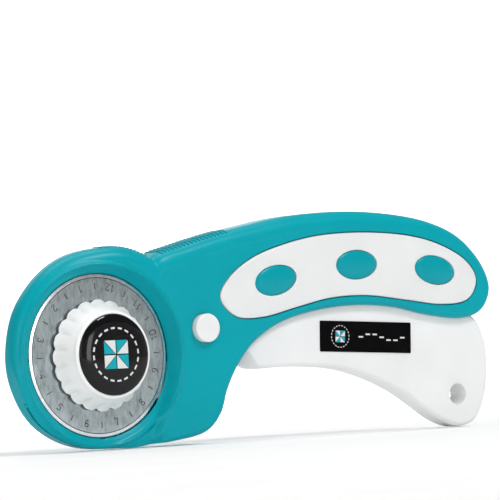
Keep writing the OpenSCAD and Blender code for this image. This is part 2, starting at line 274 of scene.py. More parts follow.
def contour(f, low, high, step):
    """Dual contouring: a closed quad mesh of f = 0 that keeps its sharp edges."""
    low, step = np.array(low, float), np.array(step, float)
    count = np.ceil((np.array(high) - low) / step).astype(int) + 1
    axes = [low[i] + step[i] * np.arange(count[i]) for i in range(3)]
    value = f(axes[0][:, None, None], axes[1][None, :, None], axes[2][None, None, :])
    value = np.ascontiguousarray(np.broadcast_to(value, count), dtype=np.float32)
    inside = value < 0
    cells = count - 1
    number = int(np.prod(cells))
    ata = np.zeros((number, 6), np.float32)
    atb = np.zeros((number, 3), np.float32)
    mass = np.zeros((number, 4), np.float32)
    quads = []
    for axis in range(3):
        start, stop = [slice(None)] * 3, [slice(None)] * 3
        start[axis], stop[axis] = slice(0, -1), slice(1, None)
        edge = np.argwhere(inside[tuple(start)] != inside[tuple(stop)])
        u, v = (axis + 1) % 3, (axis + 2) % 3
        keep = ((edge[:, u] > 0) & (edge[:, v] > 0)
                & (edge[:, u] < cells[u]) & (edge[:, v] < cells[v]))
        edge = edge[keep]
        far = edge.copy()
        far[:, axis] += 1
        a, b = value[tuple(edge.T)], value[tuple(far.T)]
        p = crossing(f, low + edge * step, axis, step[axis], a, b)
        n = gradient(f, p)
        n /= np.maximum(np.linalg.norm(n, axis=1, keepdims=True), 1e-9)
        reach = (n * p).sum(1)
        square = np.stack([n[:, 0] * n[:, 0], n[:, 0] * n[:, 1], n[:, 0] * n[:, 2],
                           n[:, 1] * n[:, 1], n[:, 1] * n[:, 2], n[:, 2] * n[:, 2]], 1)
        corners = []
        for du, dv in ((0, 0), (-1, 0), (-1, -1), (0, -1)):
            c = edge.copy()
            c[:, u] += du
            c[:, v] += dv
            flat = np.ravel_multi_index(tuple(c.T), tuple(cells))
            corners.append(flat)
            for k in range(6):
                ata[:, k] += np.bincount(flat, square[:, k], number)
            for k in range(3):
                atb[:, k] += np.bincount(flat, n[:, k] * reach, number)
                mass[:, k] += np.bincount(flat, p[:, k], number)
            mass[:, 3] += np.bincount(flat, minlength=number)
        ring = np.stack(corners, 1)
        flip = a > 0
        ring[flip] = ring[flip][:, ::-1]
        quads.append(ring)
    used = np.flatnonzero(mass[:, 3] > 0)
    m = mass[used].astype(float)
    centre = m[:, :3] / m[:, 3:]
    s = ata[used].astype(float)
    mat = np.stack([s[:, 0], s[:, 1], s[:, 2], s[:, 1], s[:, 3], s[:, 4],
                    s[:, 2], s[:, 4], s[:, 5]], 1).reshape(-1, 3, 3)
    right = atb[used] - np.einsum("nij,nj->ni", mat, centre)
    mat += np.eye(3) * 0.06
    offset = np.linalg.solve(mat, right[:, :, None])[:, :, 0]
    corner = low + np.stack(np.unravel_index(used, tuple(cells)), 1) * step
    points = np.clip(centre + offset, corner - 0.1 * step, corner + 1.1 * step)
    index = np.full(number, -1)
    index[used] = np.arange(len(used))
    return points, index[np.concatenate(quads)]


def to_world(points):
    return np.asarray(points, float) * MM + BLADE_CENTRE


def shade_by_angle(mesh):
    mesh.shade_smooth()
    mesh.set_sharp_from_angle(angle=math.radians(SHARP_DEGREES))


def make_object(name, points, faces):
    mesh = bpy.data.meshes.new(name)
    mesh.from_pydata(to_world(points).tolist(), [], [list(map(int, q)) for q in faces])
    mesh.validate()
    shade_by_angle(mesh)
    obj = bpy.data.objects.new(name, mesh)
    bpy.context.scene.collection.objects.link(obj)
    return obj


def contour_object(name, f, low, high, step):
    points, quads = contour(f, low, high, step)
    return make_object(name, points, quads)


def lathe(name, profile, steps=128, centre=(0, 0), wave=None):
    """A closed body turned about a line along y; profile is a list of (radius, y)."""
    points, faces = [], []
    rows = len(profile)
    for i in range(steps):
        a = 2 * math.pi * i / steps
        for k, (r, y) in enumerate(profile):
            q = r if wave is None else wave(a, k, r)
            points.append((centre[0] + q * math.cos(a), y, centre[1] + q * math.sin(a)))
    for i in range(steps):
        j = (i + 1) % steps
        for k in range(rows - 1):
            faces.append((i * rows + k, i * rows + k + 1, j * rows + k + 1, j * rows + k))
    obj = make_object(name, points, faces)
    clean(obj)
    return obj


def clean(obj):
    """Merges doubled points on the axis and turns every face outward."""
    bm = bmesh.new()
    bm.from_mesh(obj.data)
    bmesh.ops.remove_doubles(bm, verts=bm.verts, dist=1e-6)
    bmesh.ops.dissolve_degenerate(bm, dist=1e-7, edges=bm.edges)
    bmesh.ops.recalc_face_normals(bm, faces=bm.faces)
    bm.to_mesh(obj.data)
    bm.free()
    shade_by_angle(obj.data)


# ---------------------------------------------------------------- camera
CAMERA_AIM = (53.2, 0.0, 27.8)
CAMERA_DISTANCE = 1137
CAMERA_AZIMUTH = -35.2
CAMERA_ELEVATION = -1.7
CAMERA_ROLL = -3.07
CAMERA_LENS = 288


def photo_camera():
    """A long lens, left of the knob side, just above the floor and rolled a little."""
    a, e = math.radians(CAMERA_AZIMUTH), math.radians(CAMERA_ELEVATION)
    away = Vector((math.sin(a) * math.cos(e), -math.cos(a) * math.cos(e), math.sin(e)))
    right = Vector((0, 0, 1)).cross(away).normalized()
    turn = Matrix.Rotation(math.radians(CAMERA_ROLL), 3, away)
    right = turn @ right
    matrix = Matrix((right, away.cross(right), away)).transposed().to_4x4()
    matrix.translation = Vector(to_world(CAMERA_AIM)) + away * CAMERA_DISTANCE * MM
    data = bpy.data.cameras.new("camera")
    data.lens, data.sensor_width = CAMERA_LENS, 36
    data.clip_start, data.clip_end = 0.05, 20
    camera = bpy.data.objects.new("camera", data)
    bpy.context.scene.collection.objects.link(camera)
    camera.matrix_world = matrix
    bpy.context.scene.camera = camera


photo_camera()


# ---------------------------------------------------------------- fields of the parts
guard = Field(closed_curve(GUARD_PTS))
case = Field(closed_curve(CASE_PTS))
inlay = Field(closed_curve(INLAY_PTS))
lever = Field(closed_curve(LEVER_PTS))
slot_area = Field(np.array(SLOT_PTS, float), step=0.5)
arm_area = Field(np.array(ARM_PATH_PTS, float), step=0.4)


def lip_zone(x, z):
    """1 where a thin lip hides the slot that the blade swings out of, else 0."""
    return smooth((2 - z) / 10) * smooth((20 - x) / 6)


def bead(offset, height, width):
    """A soft raised line, at its highest where offset is 0."""
    return height * np.exp(-(offset / width) ** 2)


def front_height(x, z):
    """How far the case's front stands before the blade: low round the guard, full on the neck."""
    upper = smooth((z + 8) / 20)
    low_edge = STEP_FOOT[0] + (z - STEP_FOOT[1]) * STEP_LEAN
    edge = low_edge * (1 - upper) + 14 * upper
    width = STEP_WIDTH * (1 - upper) + BLEND_WIDTH * upper
    rise = smooth((x - edge + width) / width)
    height = GUARD_FRONT_H + (-CASE_FRONT - GUARD_FRONT_H) * rise
    height = height + bead(np.hypot(x, z) - RIM_R - 0.3, RIM_BEAD_H, RIM_BEAD_W)
    height = height + bead(x - edge - 0.3, STEP_BEAD_H, STEP_BEAD_W) * (1 - upper)
    crest = smooth((x - 17) / 6) * smooth((85 - x) / 30) * smooth((z - 18) / 5)
    height = height + bead(-case(x, z) - 4.3, CREST_BEAD_H, CREST_BEAD_W) * crest
    slope = 1 - np.clip(-guard(x, z) / 2.6, 0, 1)
    return height - lip_zone(x, z) * (height - LIP_H) * slope ** 2


def edge_round(x, z):
    """Radius of the case's front edge: tight along its lower side, soft along the top."""
    along = np.clip((x - 15) / 35, 0, 1)
    low = 1.2 + 0.6 * along
    level = -20 + 32 * along
    radius = low + (4.0 - low) * smooth((z - level) / 14)
    return radius + (0.2 - radius) * lip_zone(x, z)


def case_form(x, y, z):
    """Both shells closed up, before anything is cut out of them."""
    flat = blend_min(guard(x, z), case(x, z), 0.8)
    r = np.hypot(x, z)
    back = GUARD_BACK + (CASE_BACK - GUARD_BACK) * smooth((r - 26.5) / 2.5) * smooth((x - 8) / 8)
    body = round_max(flat, -front_height(x, z) - y, edge_round(x, z))
    return round_max(body, y - back, 2.6)


def parting(x, z):
    """Where the two shells meet: the middle of the handle, and the slot's front at the guard."""
    r = np.hypot(x, z)
    return SLOT_FRONT + (SPLIT - SLOT_FRONT) * smooth((x - 17) / 7) * smooth((r - 26) / 2.5)


def hollow(x, z):
    """The outline of the room inside the handle, with the mouth that the trigger moves in."""
    reach = np.hypot(x - PIVOT[0], z - PIVOT[1]) - LEVER_REACH
    inner = np.minimum(case(x, z) + WALL + CAVITY_GAP, np.maximum(reach, slot_area(x, z)))
    return np.maximum(inner, ZONE_R + WALL - np.hypot(x, z))


def blade_path(x, z):
    """The outline that the blade sweeps as the trigger is squeezed, with a gap round it."""
    paths = [turned((0, 0), SQUEEZE * i / 4) for i in range(5)]
    return np.minimum.reduce([np.hypot(x - p[0], z - p[1]) for p in paths]) - BLADE_R - BLADE_GAP


def cut_common(solid, x, y, z):
    """Takes out of either shell the room for the blade, the trigger's arm and the trigger."""
    blade_gap = np.maximum(blade_path(x, z), np.maximum(SLOT_FRONT - y, y - SLOT_BACK))
    arm_gap = np.maximum(arm_area(x, z), np.maximum(ARM_GAP_FRONT - y, y - ARM_BACK - ARM_GAP))
    room = np.maximum(hollow(x, z), np.maximum(CASE_FRONT + WALL - y, y - CASE_BACK + WALL))
    solid = np.maximum(solid, -blade_gap)
    solid = np.maximum(solid, -arm_gap)
    return round_max(solid, -room, 0.2)


def front_shell(x, y, z):
    """The knob's side of the case, with the window's sloping wall."""
    h = front_height(x, z)
    r = np.hypot(x, z)
    t = (SLOT_FRONT - y) / (h + SLOT_FRONT)
    slope = (h + SLOT_FRONT) / np.hypot(h + SLOT_FRONT, RIM_R - WINDOW_R)
    funnel = (WINDOW_R + (RIM_R - WINDOW_R) * t - r) * slope
    solid = round_max(case_form(x, y, z), funnel, 0.4)
    solid = round_max(solid, y - parting(x, z), 0.12)
    solid = cut_common(solid, x, y, z)
    recess = np.maximum(inlay(x, z) - INLAY_SEAM, y - CASE_FRONT - INLAY_DEPTH)
    solid = round_max(solid, -recess, 0.1)
    hole = np.hypot(x - BUTTON[0], z - BUTTON[1]) - BUTTON_R - BUTTON_HOLE_GAP
    return round_max(solid, -hole, 0.15)


def back_shell(x, y, z):
    """The far side of the case, with a smaller round window and the screws' holes."""
    r = np.hypot(x, z)
    solid = round_max(case_form(x, y, z), parting(x, z) - y, 0.12)
    solid = round_max(solid, BACK_WINDOW_R - r, 0.5)
    solid = cut_common(solid, x, y, z)
    recess = np.maximum(inlay(x, z) - INLAY_SEAM, CASE_BACK - INLAY_DEPTH - y)
    solid = round_max(solid, -recess, 0.1)
    hole = np.hypot(x - BUTTON[0], z - BUTTON[1]) - STEM_R - STEM_HOLE_GAP
    solid = round_max(solid, -hole, 0.15)
    for p in SCREWS:
        sink = np.hypot(x - p[0], z - p[1]) - SCREW_SINK_R
        solid = round_max(solid, -sink, 0.15)
    return solid


def crown(depth, height, reach):
    """A face that rises from its outline to a nearly flat middle."""
    return height * (1 - np.exp(-np.maximum(depth, 0) / reach))


def inlay_form(x, y, z, height):
    """The grip inlay on the knob's side, crowned by height, with an opening for each pad."""
    d = inlay(x, z) + 0.12
    face = CASE_FRONT - 0.1 - crown(-d, height, 3.4)
    solid = np.maximum(round_max(d, face - y, 0.35), y - CASE_FRONT - INLAY_DEPTH)
    for p in PADS:
        solid = round_max(solid, 0.1 - oval_distance(x, z, p, PAD_SIZE), 0.2)
    return solid


def pad_form(x, y, z, height):
    """The three grip pads on the knob's side, each a low dome."""
    ovals = np.minimum.reduce([oval_distance(x, z, p, PAD_SIZE) for p in PADS])
    face = CASE_FRONT - 0.6 * height - 0.1 - crown(-ovals, 0.8 * height, 1.3)
    return np.maximum(round_max(ovals, face - y, 0.3), y - CASE_FRONT - INLAY_DEPTH)


def trigger_lever(x, y, z):
    """The grip with its bevelled left end and spring seat, and the thin arm to the blade."""
    thick = np.abs(y - (LEVER_FRONT + LEVER_BACK) / 2) - (LEVER_BACK - LEVER_FRONT) / 2
    body = round_max(lever(x, z), thick, 1.5)
    seat = np.maximum(np.abs(x - SPRING_X) - 5, np.abs(z - SPRING_LOW / 2) - SPRING_LOW / 2)
    body = np.minimum(body, round_max(seat, thick, 0.3))
    beyond = (FACET_AT[0] - x) * FACET_WAY[0] + (FACET_AT[1] - z) * FACET_WAY[1]
    body = round_max(body, (LEVER_FRONT - y + FACET_SLOPE * beyond) * FACET_SCALE, 0.12)
    body = round_max(body, (y - LEVER_BACK + FACET_SLOPE * beyond) * FACET_SCALE, 0.12)
    flat = np.minimum.reduce([
        np.hypot(x, z) - ARM_HUB_R, bar_distance(x, z, (0, 0), PIVOT, ARM_WIDTH),
        bar_distance(x, z, PIVOT, (BUTTON[0] + 1.8, BUTTON[1]), ARM_HEEL_WIDTH),
        bar_distance(x, z, (34, -6), (52, 3), ARM_TAIL_WIDTH)])
    thin = np.abs(y - (ARM_FRONT + ARM_BACK) / 2) - (ARM_BACK - ARM_FRONT) / 2
    body = blend_min(body, round_max(flat, thin, 0.5), 0.3)
    slot_end = (BUTTON[0] + BUTTON_SLOT[0], BUTTON[1])
    slot = bar_distance(x, z, BUTTON, slot_end, BUTTON_SLOT[1])
    body = round_max(body, -slot, 0.3)
    pin = np.hypot(x - PIVOT[0], z - PIVOT[1]) - PIN_HOLE_R
    body = round_max(body, -pin, 0.2)
    hole = np.hypot(x - HANG_HOLE[0], z - HANG_HOLE[1]) - HANG_R
    return round_max(body, -hole, 0.45)


# ---------------------------------------------------------------- materials
def node_material(name):
    mat = bpy.data.materials.new(name)
    mat.use_nodes = True
    nodes, links = mat.node_tree.nodes, mat.node_tree.links
    shader = nodes["Principled BSDF"]
    place = nodes.new("ShaderNodeTexCoord")
    return mat, nodes, links, shader, place


def noise(nodes, links, vector, scale, detail=3.0, rough=0.5):
    n = nodes.new("ShaderNodeTexNoise")
    n.inputs["Scale"].default_value = scale
    n.inputs["Detail"].default_value = detail
    n.inputs["Roughness"].default_value = rough
    links.new(vector, n.inputs["Vector"])
    return n.outputs["Fac"]


def ramp(nodes, links, fac, stops):
    r = nodes.new("ShaderNodeValToRGB")
    r.color_ramp.elements[0].position, r.color_ramp.elements[0].color = stops[0]
    r.color_ramp.elements[1].position, r.color_ramp.elements[1].color = stops[-1]
    for pos, col in stops[1:-1]:
        r.color_ramp.elements.new(pos).color = col
    links.new(fac, r.inputs["Fac"])
    return r.outputs["Color"]


def bump(nodes, links, height, strength, distance, shader):
    b = nodes.new("ShaderNodeBump")
    b.inputs["Strength"].default_value = strength
    b.inputs["Distance"].default_value = distance
    links.new(height, b.inputs["Height"])
    links.new(b.outputs["Normal"], shader.inputs["Normal"])


def remap(nodes, links, fac, low, high):
    m = nodes.new("ShaderNodeMapRange")
    m.inputs["To Min"].default_value = low
    m.inputs["To Max"].default_value = high
    links.new(fac, m.inputs["Value"])
    return m.outputs["Result"]


def shade(color, k):
    return tuple(min(1, c * k) for c in color[:3]) + (1,)


def plastic(name, color, roughness, grain=0.00002, coat=0.0, subsurface=0.0, shine=0.5):
    """Moulded plastic: faint flow mottling, a fine eroded grain and small gloss changes."""
    mat, nodes, links, shader, place = node_material(name)
    at = place.outputs["Object"]
    flow = noise(nodes, links, at, 55, 2)
    links.new(ramp(nodes, links, flow, [(0.3, shade(color, 0.965)), (0.7, shade(color, 1.03))]),
              shader.inputs["Base Color"])
    fine = noise(nodes, links, at, 2600, 3, 0.6)
    links.new(remap(nodes, links, noise(nodes, links, at, 320, 3), roughness - 0.035,
                    roughness + 0.035), shader.inputs["Roughness"])
    bump(nodes, links, fine, 0.12, grain, shader)
    shader.inputs["Specular IOR Level"].default_value = shine
    shader.inputs["Coat Weight"].default_value = coat
    shader.inputs["Coat Roughness"].default_value = 0.12
    shader.inputs["Subsurface Weight"].default_value = subsurface
    shader.inputs["Subsurface Radius"].default_value = (0.004, 0.004, 0.004)
    shader.inputs["Subsurface Scale"].default_value = 0.3
    return mat


def steel(name, color, roughness, streak=(1, 1, 1), streak_scale=900, depth=0.00001,
          mottle=1.0):
    """Bright metal: drawn-out streaks of grain with cloudy patches."""
    mat, nodes, links, shader, place = node_material(name)
    stretch = nodes.new("ShaderNodeMapping")
    stretch.inputs["Scale"].default_value = streak
    links.new(place.outputs["Object"], stretch.inputs["Vector"])
    lines = noise(nodes, links, stretch.outputs["Vector"], streak_scale, 4, 0.65)
    cloud = noise(nodes, links, place.outputs["Object"], 180, 4, 0.6)
    mix = nodes.new("ShaderNodeMath")
    mix.operation = "MULTIPLY_ADD"
    mix.inputs[1].default_value = 0.62
    links.new(lines, mix.inputs[0])
    links.new(remap(nodes, links, cloud, 0.06, 0.32), mix.inputs[2])
    links.new(ramp(nodes, links, mix.outputs[0],
                   [(0.32, shade(color, 1 - 0.2 * mottle)), (0.5, color + (1,)),
                    (0.68, shade(color, 1 + 0.16 * mottle))]), shader.inputs["Base Color"])
    links.new(remap(nodes, links, mix.outputs[0], roughness - 0.08, roughness + 0.08),
              shader.inputs["Roughness"])
    bump(nodes, links, lines, 0.25, depth, shader)
    shader.inputs["Metallic"].default_value = 1.0
    return mat


TEAL = (0.0, 0.338, 0.402)
WHITE = (0.82, 0.828, 0.828)
teal = plastic("teal_plastic", TEAL, 0.32, shine=0.13)
teal_pad = plastic("teal_pad", (0.0, 0.315, 0.376), 0.25, shine=0.18)
white = plastic("white_plastic", WHITE, 0.36, subsurface=0.08)
inlay_white = plastic("inlay_plastic", (0.77, 0.78, 0.78), 0.34, subsurface=0.08)
knob_white = plastic("knob_plastic", (0.93, 0.93, 0.92), 0.33, subsurface=0.08)
label_black = plastic("label_black", (0.002, 0.002, 0.0025), 0.4, shine=0.04)
badge_black = plastic("badge_black", (0.003, 0.003, 0.004), 0.07, grain=0.000001, shine=0.3)
print_white = plastic("print_white", (0.72, 0.73, 0.73), 0.3)
print_teal = plastic("print_teal", (0.003, 0.37, 0.44), 0.3, shine=0.2)
blade_steel = steel("blade_steel", (0.40, 0.452, 0.466), 0.24, (1, 1, 0.3), 1300, mottle=2.2)
blade_edge = steel("blade_edge", (0.74, 0.76, 0.78), 0.22, (1, 1, 1), 700)
# Dark steel for the struck dial marks; also painted shade on the band where the blade's bevel starts.
marks_and_painted_shade = steel("dial_marks_and_painted_shade", (0.10, 0.11, 0.12), 0.45)
bolt_steel = steel("bolt_steel", (0.56, 0.57, 0.58), 0.33)
wire_steel = steel("wire_steel", (0.42, 0.43, 0.45), 0.28)
brass = steel("brass", (0.72, 0.50, 0.20), 0.3)


def dress(obj, mat, body=None, replaces=()):
    obj.data.materials.clear()
    obj.data.materials.append(mat)
    if body:
        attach(obj, body)
    if replaces:
        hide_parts(*replaces)
    return obj


# ---------------------------------------------------------------- case, inlays, trigger
def make_case():
    step = (0.45, 0.3, 0.45)
    low, high = (-29, -5, -27.2), (138.6, 10.2, 39.6)
    front = contour_object("front_shell_skin", front_shell, low, (138.6, 3.2, 39.6), step)
    back = contour_object("back_shell_skin", back_shell, (-29, -1, -27.2), high, step)
    dress(front, teal, "case", ["front_shell"])
    dress(back, teal, "case", ["back_shell"])


def make_inlays():
    """Crowned on the knob's side; flatter on the other, where the tool can lie on its pads."""
    step = (0.4, 0.25, 0.4)
    for side, height in (("front", 1.0), ("back", 0.5)):
        front = side == "front"
        y_low, y_high = (-6.2, -2.2) if front else (7.2, 11.0)

        def at_side(form, x, y, z):
            return form(x, y if front else 2 * SPLIT - y, z, height)

        body = contour_object(side + "_inlay_skin", partial(at_side, inlay_form),
                              (38, y_low, 7.5), (133, y_high, 33), step)
        dress(body, inlay_white, "case", [side + "_grip_inlay"])
        pads = contour_object(side + "_pad_skins", partial(at_side, pad_form),
                              (49, y_low, 13), (124, y_high, 28), step)
        dress(pads, teal_pad, "case", [side + "_grip_pads"])


def make_trigger():
    skin = contour_object("trigger_skin", trigger_lever, (-11, -2.4, -27.2),
                          (137.6, 7.4, 15.6), (0.45, 0.35, 0.45))
    dress(skin, white, "trigger", ["trigger_lever"])


# ---------------------------------------------------------------- knob and badge
def make_knob():
    """A scalloped cone with a hollow underside, a seat for the badge and the nut's pocket."""
    rows = 14
    rim = KNOB_TOP_R
    profile = [(9.5, KNOB_BASE), (9.5, KNOB_BASE - 1.6), (KNOB_R - 2.4, KNOB_BASE - 1.6),
               (KNOB_R - 1.1, KNOB_BASE), (KNOB_R - 0.35, KNOB_BASE),
               (KNOB_R - 0.08, KNOB_BASE - 0.12), (KNOB_R, KNOB_BASE - 0.4)]
    under = len(profile)
    for i in range(1, rows + 1):
        t = i / rows
        y = KNOB_BASE - 0.4 + t * (KNOB_TOP + 1.0 - KNOB_BASE + 0.4)
        profile.append((KNOB_R + (rim - KNOB_R) * t ** 0.85, y))
    for i in range(1, 7):
        a = math.radians(90 * i / 6)
        profile.append((rim - 0.9 * (1 - math.cos(a)) * 0.9, KNOB_TOP + 1.0 - math.sin(a)))
    profile += [(BADGE_R + 0.12, KNOB_TOP), (BADGE_R + 0.1, KNOB_TOP + 0.5),
                (4.6, KNOB_TOP + 0.5), (2.6, KNOB_TOP + 0.9), (2.6, -6.0), (4.7, -6.0),
                (4.7, -1.9), (8.2, -1.9), (8.2, KNOB_BASE), (9.5, KNOB_BASE)]
    wavy = range(2, under + rows)

    def wave(a, k, r):
        if k not in wavy:
            return r
        fade = 1 - smooth((k - under) / (rows * 0.72))
        dip = max(0.0, 1 - abs(math.cos(SCALLOPS * a / 2)) * 1.2)
        return r - 0.75 * float(fade) * dip

    knob = lathe("knob_skin", profile, SCALLOPS * 16, wave=wave)
    dress(knob, knob_white, "knob", ["knob"])


def dome_y(r):
    """Height of the badge's domed face, flatter in the middle than at its edge."""
    t = np.clip(r / BADGE_R, 0, 1)
    return KNOB_TOP - 0.12 - BADGE_H * np.sqrt(np.maximum(1 - t ** 2.6, 0)) ** 0.9


def make_badge():
    profile = [(0, KNOB_TOP + 0.45), (BADGE_R, KNOB_TOP + 0.45), (BADGE_R, KNOB_TOP - 0.05)]
    for i in range(0, 25):
        r = BADGE_R * math.cos(math.radians(90 * i / 24))
        profile.append((r, float(dome_y(r))))
    badge = lathe("badge_skin", profile, 128)
    dress(badge, badge_black, "knob", ["knob_badge"])

    def above(r):
        return float(dome_y(r)) - 0.03

    motif("badge_motif", (0, 0, 0), 6.3, above, "knob")


def level(y):
    """The height of a flat face, for on_face() and patch()."""
    return lambda r: y


def on_face(place, flat, height):
    """Points of a flat drawing, set on a face that lies along y."""
    c, s = math.cos(math.radians(place[2])), math.sin(math.radians(place[2]))
    out = []
    for u, v in flat:
        out.append((place[0] + u * c - v * s, height(math.hypot(u, v)),
                    place[1] + u * s + v * c))
    return out


def patch(corners, height, place, thick=0.03, parts=8):
    """A small printed four-sided patch that follows the face under it."""
    a, b, c, d = [np.array(k, float) for k in corners]
    points, faces = [], []
    for layer in (0, thick):
        for i in range(parts + 1):
            for j in range(parts + 1):
                u, v = i / parts, j / parts
                p = (a * (1 - u) + b * u) * (1 - v) + (d * (1 - u) + c * u) * v
                points += on_face(place, [p], lambda r: height(r) + layer)
    n = parts + 1
    for i in range(parts):
        for j in range(parts):
            k = i * n + j
            faces.append((k, k + 1, k + n + 1, k + n))
            m = k + n * n
            faces.append((m, m + n, m + n + 1, m + 1))
    edge = ([(i, 0) for i in range(parts)] + [(parts, j) for j in range(parts)]
            + [(i, parts) for i in range(parts, 0, -1)] + [(0, j) for j in range(parts, 0, -1)])
    for i, (p, q) in enumerate(zip(edge, edge[1:] + edge[:1])):
        k, m = p[0] * n + p[1], q[0] * n + q[1]
        faces.append((m, k, k + n * n, m + n * n))
    return points, faces


def join_patches(name, patches):
    points, faces = [], []
    for p, f in patches:
        faces += [tuple(k + len(points) for k in q) for q in f]
        points += p
    obj = make_object(name, points, faces)
    clean(obj)
    return obj


def motif(name, place, size, height, body):
    """A pinwheel quilt block in a ring of running stitches."""
    h, gap = size * 0.62, size * 0.025
    white_parts, teal_parts = [], []
    for i in range(4):
        c, s = math.cos(math.pi / 2 * i), math.sin(math.pi / 2 * i)
        pale = [(gap, gap), (h, gap), (h, h - gap), (h, h - gap)]
        dark = [(gap, gap * 2), (h - gap, h), (gap, h), (gap, h)]
        for corners, parts in ((pale, white_parts), (dark, teal_parts)):
            turned_corners = [(u * c - v * s, u * s + v * c) for u, v in corners]
            parts.append(patch(turned_corners, height, place))
    for i in range(20):
        a0, a1 = math.radians(18 * i), math.radians(18 * i + 10)
        r0, r1 = size * 1.12, size * 1.2
        white_parts.append(patch([(r0 * math.cos(a0), r0 * math.sin(a0)),
                                  (r0 * math.cos(a1), r0 * math.sin(a1)),
                                  (r1 * math.cos(a1), r1 * math.sin(a1)),
                                  (r1 * math.cos(a0), r1 * math.sin(a0))], height, place, parts=2))
    dress(join_patches(name + "_white", white_parts), print_white, body)
    dress(join_patches(name + "_teal", teal_parts), print_teal, body)


# ---------------------------------------------------------------- label on the trigger
def make_label():
    half_u, half_v, corner = DECAL_SIZE[0] / 2, DECAL_SIZE[1] / 2, 0.35
    ring = []
    for i, (su, sv) in enumerate(((1, 1), (-1, 1), (-1, -1), (1, -1))):
        for k in range(5):
            a = math.radians(90 * i + 22.5 * k)
            ring.append((su * (half_u - corner) + corner * math.cos(a),
                         sv * (half_v - corner) + corner * math.sin(a)))
    top, edge, base = LEVER_FRONT - 0.2, LEVER_FRONT - 0.16, LEVER_FRONT + 0.05
    points = on_face(DECAL, [(u * 0.998, v * 0.995) for u, v in ring], level(top))
    points += on_face(DECAL, ring, level(edge))
    points += on_face(DECAL, ring, level(base))
    n = len(ring)
    faces = [tuple(range(n)), tuple(range(3 * n - 1, 2 * n - 1, -1))]
    for row in (0, n):
        for i in range(n):
            j = (i + 1) % n
            faces.append((row + i, row + j, row + n + j, row + n + i))
    label = make_object("label_skin", points, faces)
    clean(label)
    dress(label, label_black, "trigger", ["lever_decal"])
    c, s = math.cos(math.radians(DECAL[2])), math.sin(math.radians(DECAL[2]))
    place = (DECAL[0] - 9.2 * c, DECAL[1] - 9.2 * s, DECAL[2])
    face = level(top - 0.02)
    motif("label_motif", place, 2.7, face, "trigger")
    dashes = []
    for i in range(7):
        u = -2.6 + 2.5 * i
        bow = 0.9 * math.sin(math.radians(60 * i))
        dashes.append(patch([(u, bow - 0.22), (u + 1.6, bow - 0.22), (u + 1.6, bow + 0.22),
                             (u, bow + 0.22)], face, DECAL, parts=2))
    dress(join_patches("label_stitches", dashes), print_white, "trigger")


# ---------------------------------------------------------------- blade
DIGITS = {
    "0": [[(0, .3), (.15, .05), (.5, 0), (.85, .05), (1, .3), (1, 1.2), (.85, 1.45), (.5, 1.5),
           (.15, 1.45), (0, 1.2), (0, .3)]],
    "1": [[(.15, 1.15), (.55, 1.5), (.55, 0)]],
    "2": [[(.05, 1.15), (.2, 1.42), (.5, 1.5), (.85, 1.38), (.95, 1.1), (.8, .8), (0, 0), (1, 0)]],
    "3": [[(.05, 1.3), (.45, 1.5), (.9, 1.3), (.85, .95), (.45, .8), (.9, .6), (.95, .25),
           (.5, 0), (0, .2)]],
    "4": [[(.75, 0), (.75, 1.5), (0, .45), (1, .45)]],
    "5": [[(.9, 1.5), (.15, 1.5), (.1, .85), (.55, .95), (.95, .7), (.9, .2), (.5, 0), (.05, .15)]],
    "6": [[(.85, 1.35), (.5, 1.5), (.15, 1.25), (0, .6), (.15, .1), (.5, 0), (.9, .15), (.95, .55),
           (.6, .85), (.1, .65)]],
    "7": [[(0, 1.5), (1, 1.5), (.4, 0)]],
    "8": [[(.5, .8), (.1, 1.05), (.2, 1.42), (.5, 1.5), (.8, 1.42), (.9, 1.05), (.5, .8),
           (.05, .5), (.1, .1), (.5, 0), (.9, .1), (.95, .5), (.5, .8)]],
    "9": [[(.15, .15), (.5, 0), (.85, .25), (1, .9), (.85, 1.4), (.5, 1.5), (.1, 1.35), (.05, .95),
           (.4, .65), (.9, .85)]],
}


def make_dial():
    """Hour-like numbers and ticks, struck into the blade's face."""
    curve = bpy.data.curves.new("blade_dial", "CURVE")
    curve.dimensions = "3D"
    curve.bevel_depth = 0.13 * MM
    curve.bevel_resolution = 2
    face = -BLADE_T / 2 - 0.01

    def stroke(points):
        spline = curve.splines.new("POLY")
        spline.points.add(len(points) - 1)
        for p, (x, z) in zip(spline.points, points):
            w = to_world((x, face, z))
            p.co = (w[0], w[1], w[2], 1)

    for i in range(12):
        a = math.radians(30 * i)
        stroke([(r * math.cos(a), r * math.sin(a)) for r in (18.4, 20.1)])
    for number in range(1, 13):
        a = math.radians(75 + 30 * number)
        out = np.array([math.cos(a), math.sin(a)])
        side = np.array([-out[1], out[0]])
        text = str(number)
        for k, char in enumerate(text):
            shift = (k - (len(text) - 1) / 2) * 1.35 - 0.5
            for line in DIGITS[char]:
                pts = [out * (20.15 - 1.28 * v) + side * 1.12 * (u + shift) for u, v in line]
                stroke([(float(p[0]), float(p[1])) for p in pts])
    obj = bpy.data.objects.new("blade_dial", curve)
    bpy.context.scene.collection.objects.link(obj)
    return obj


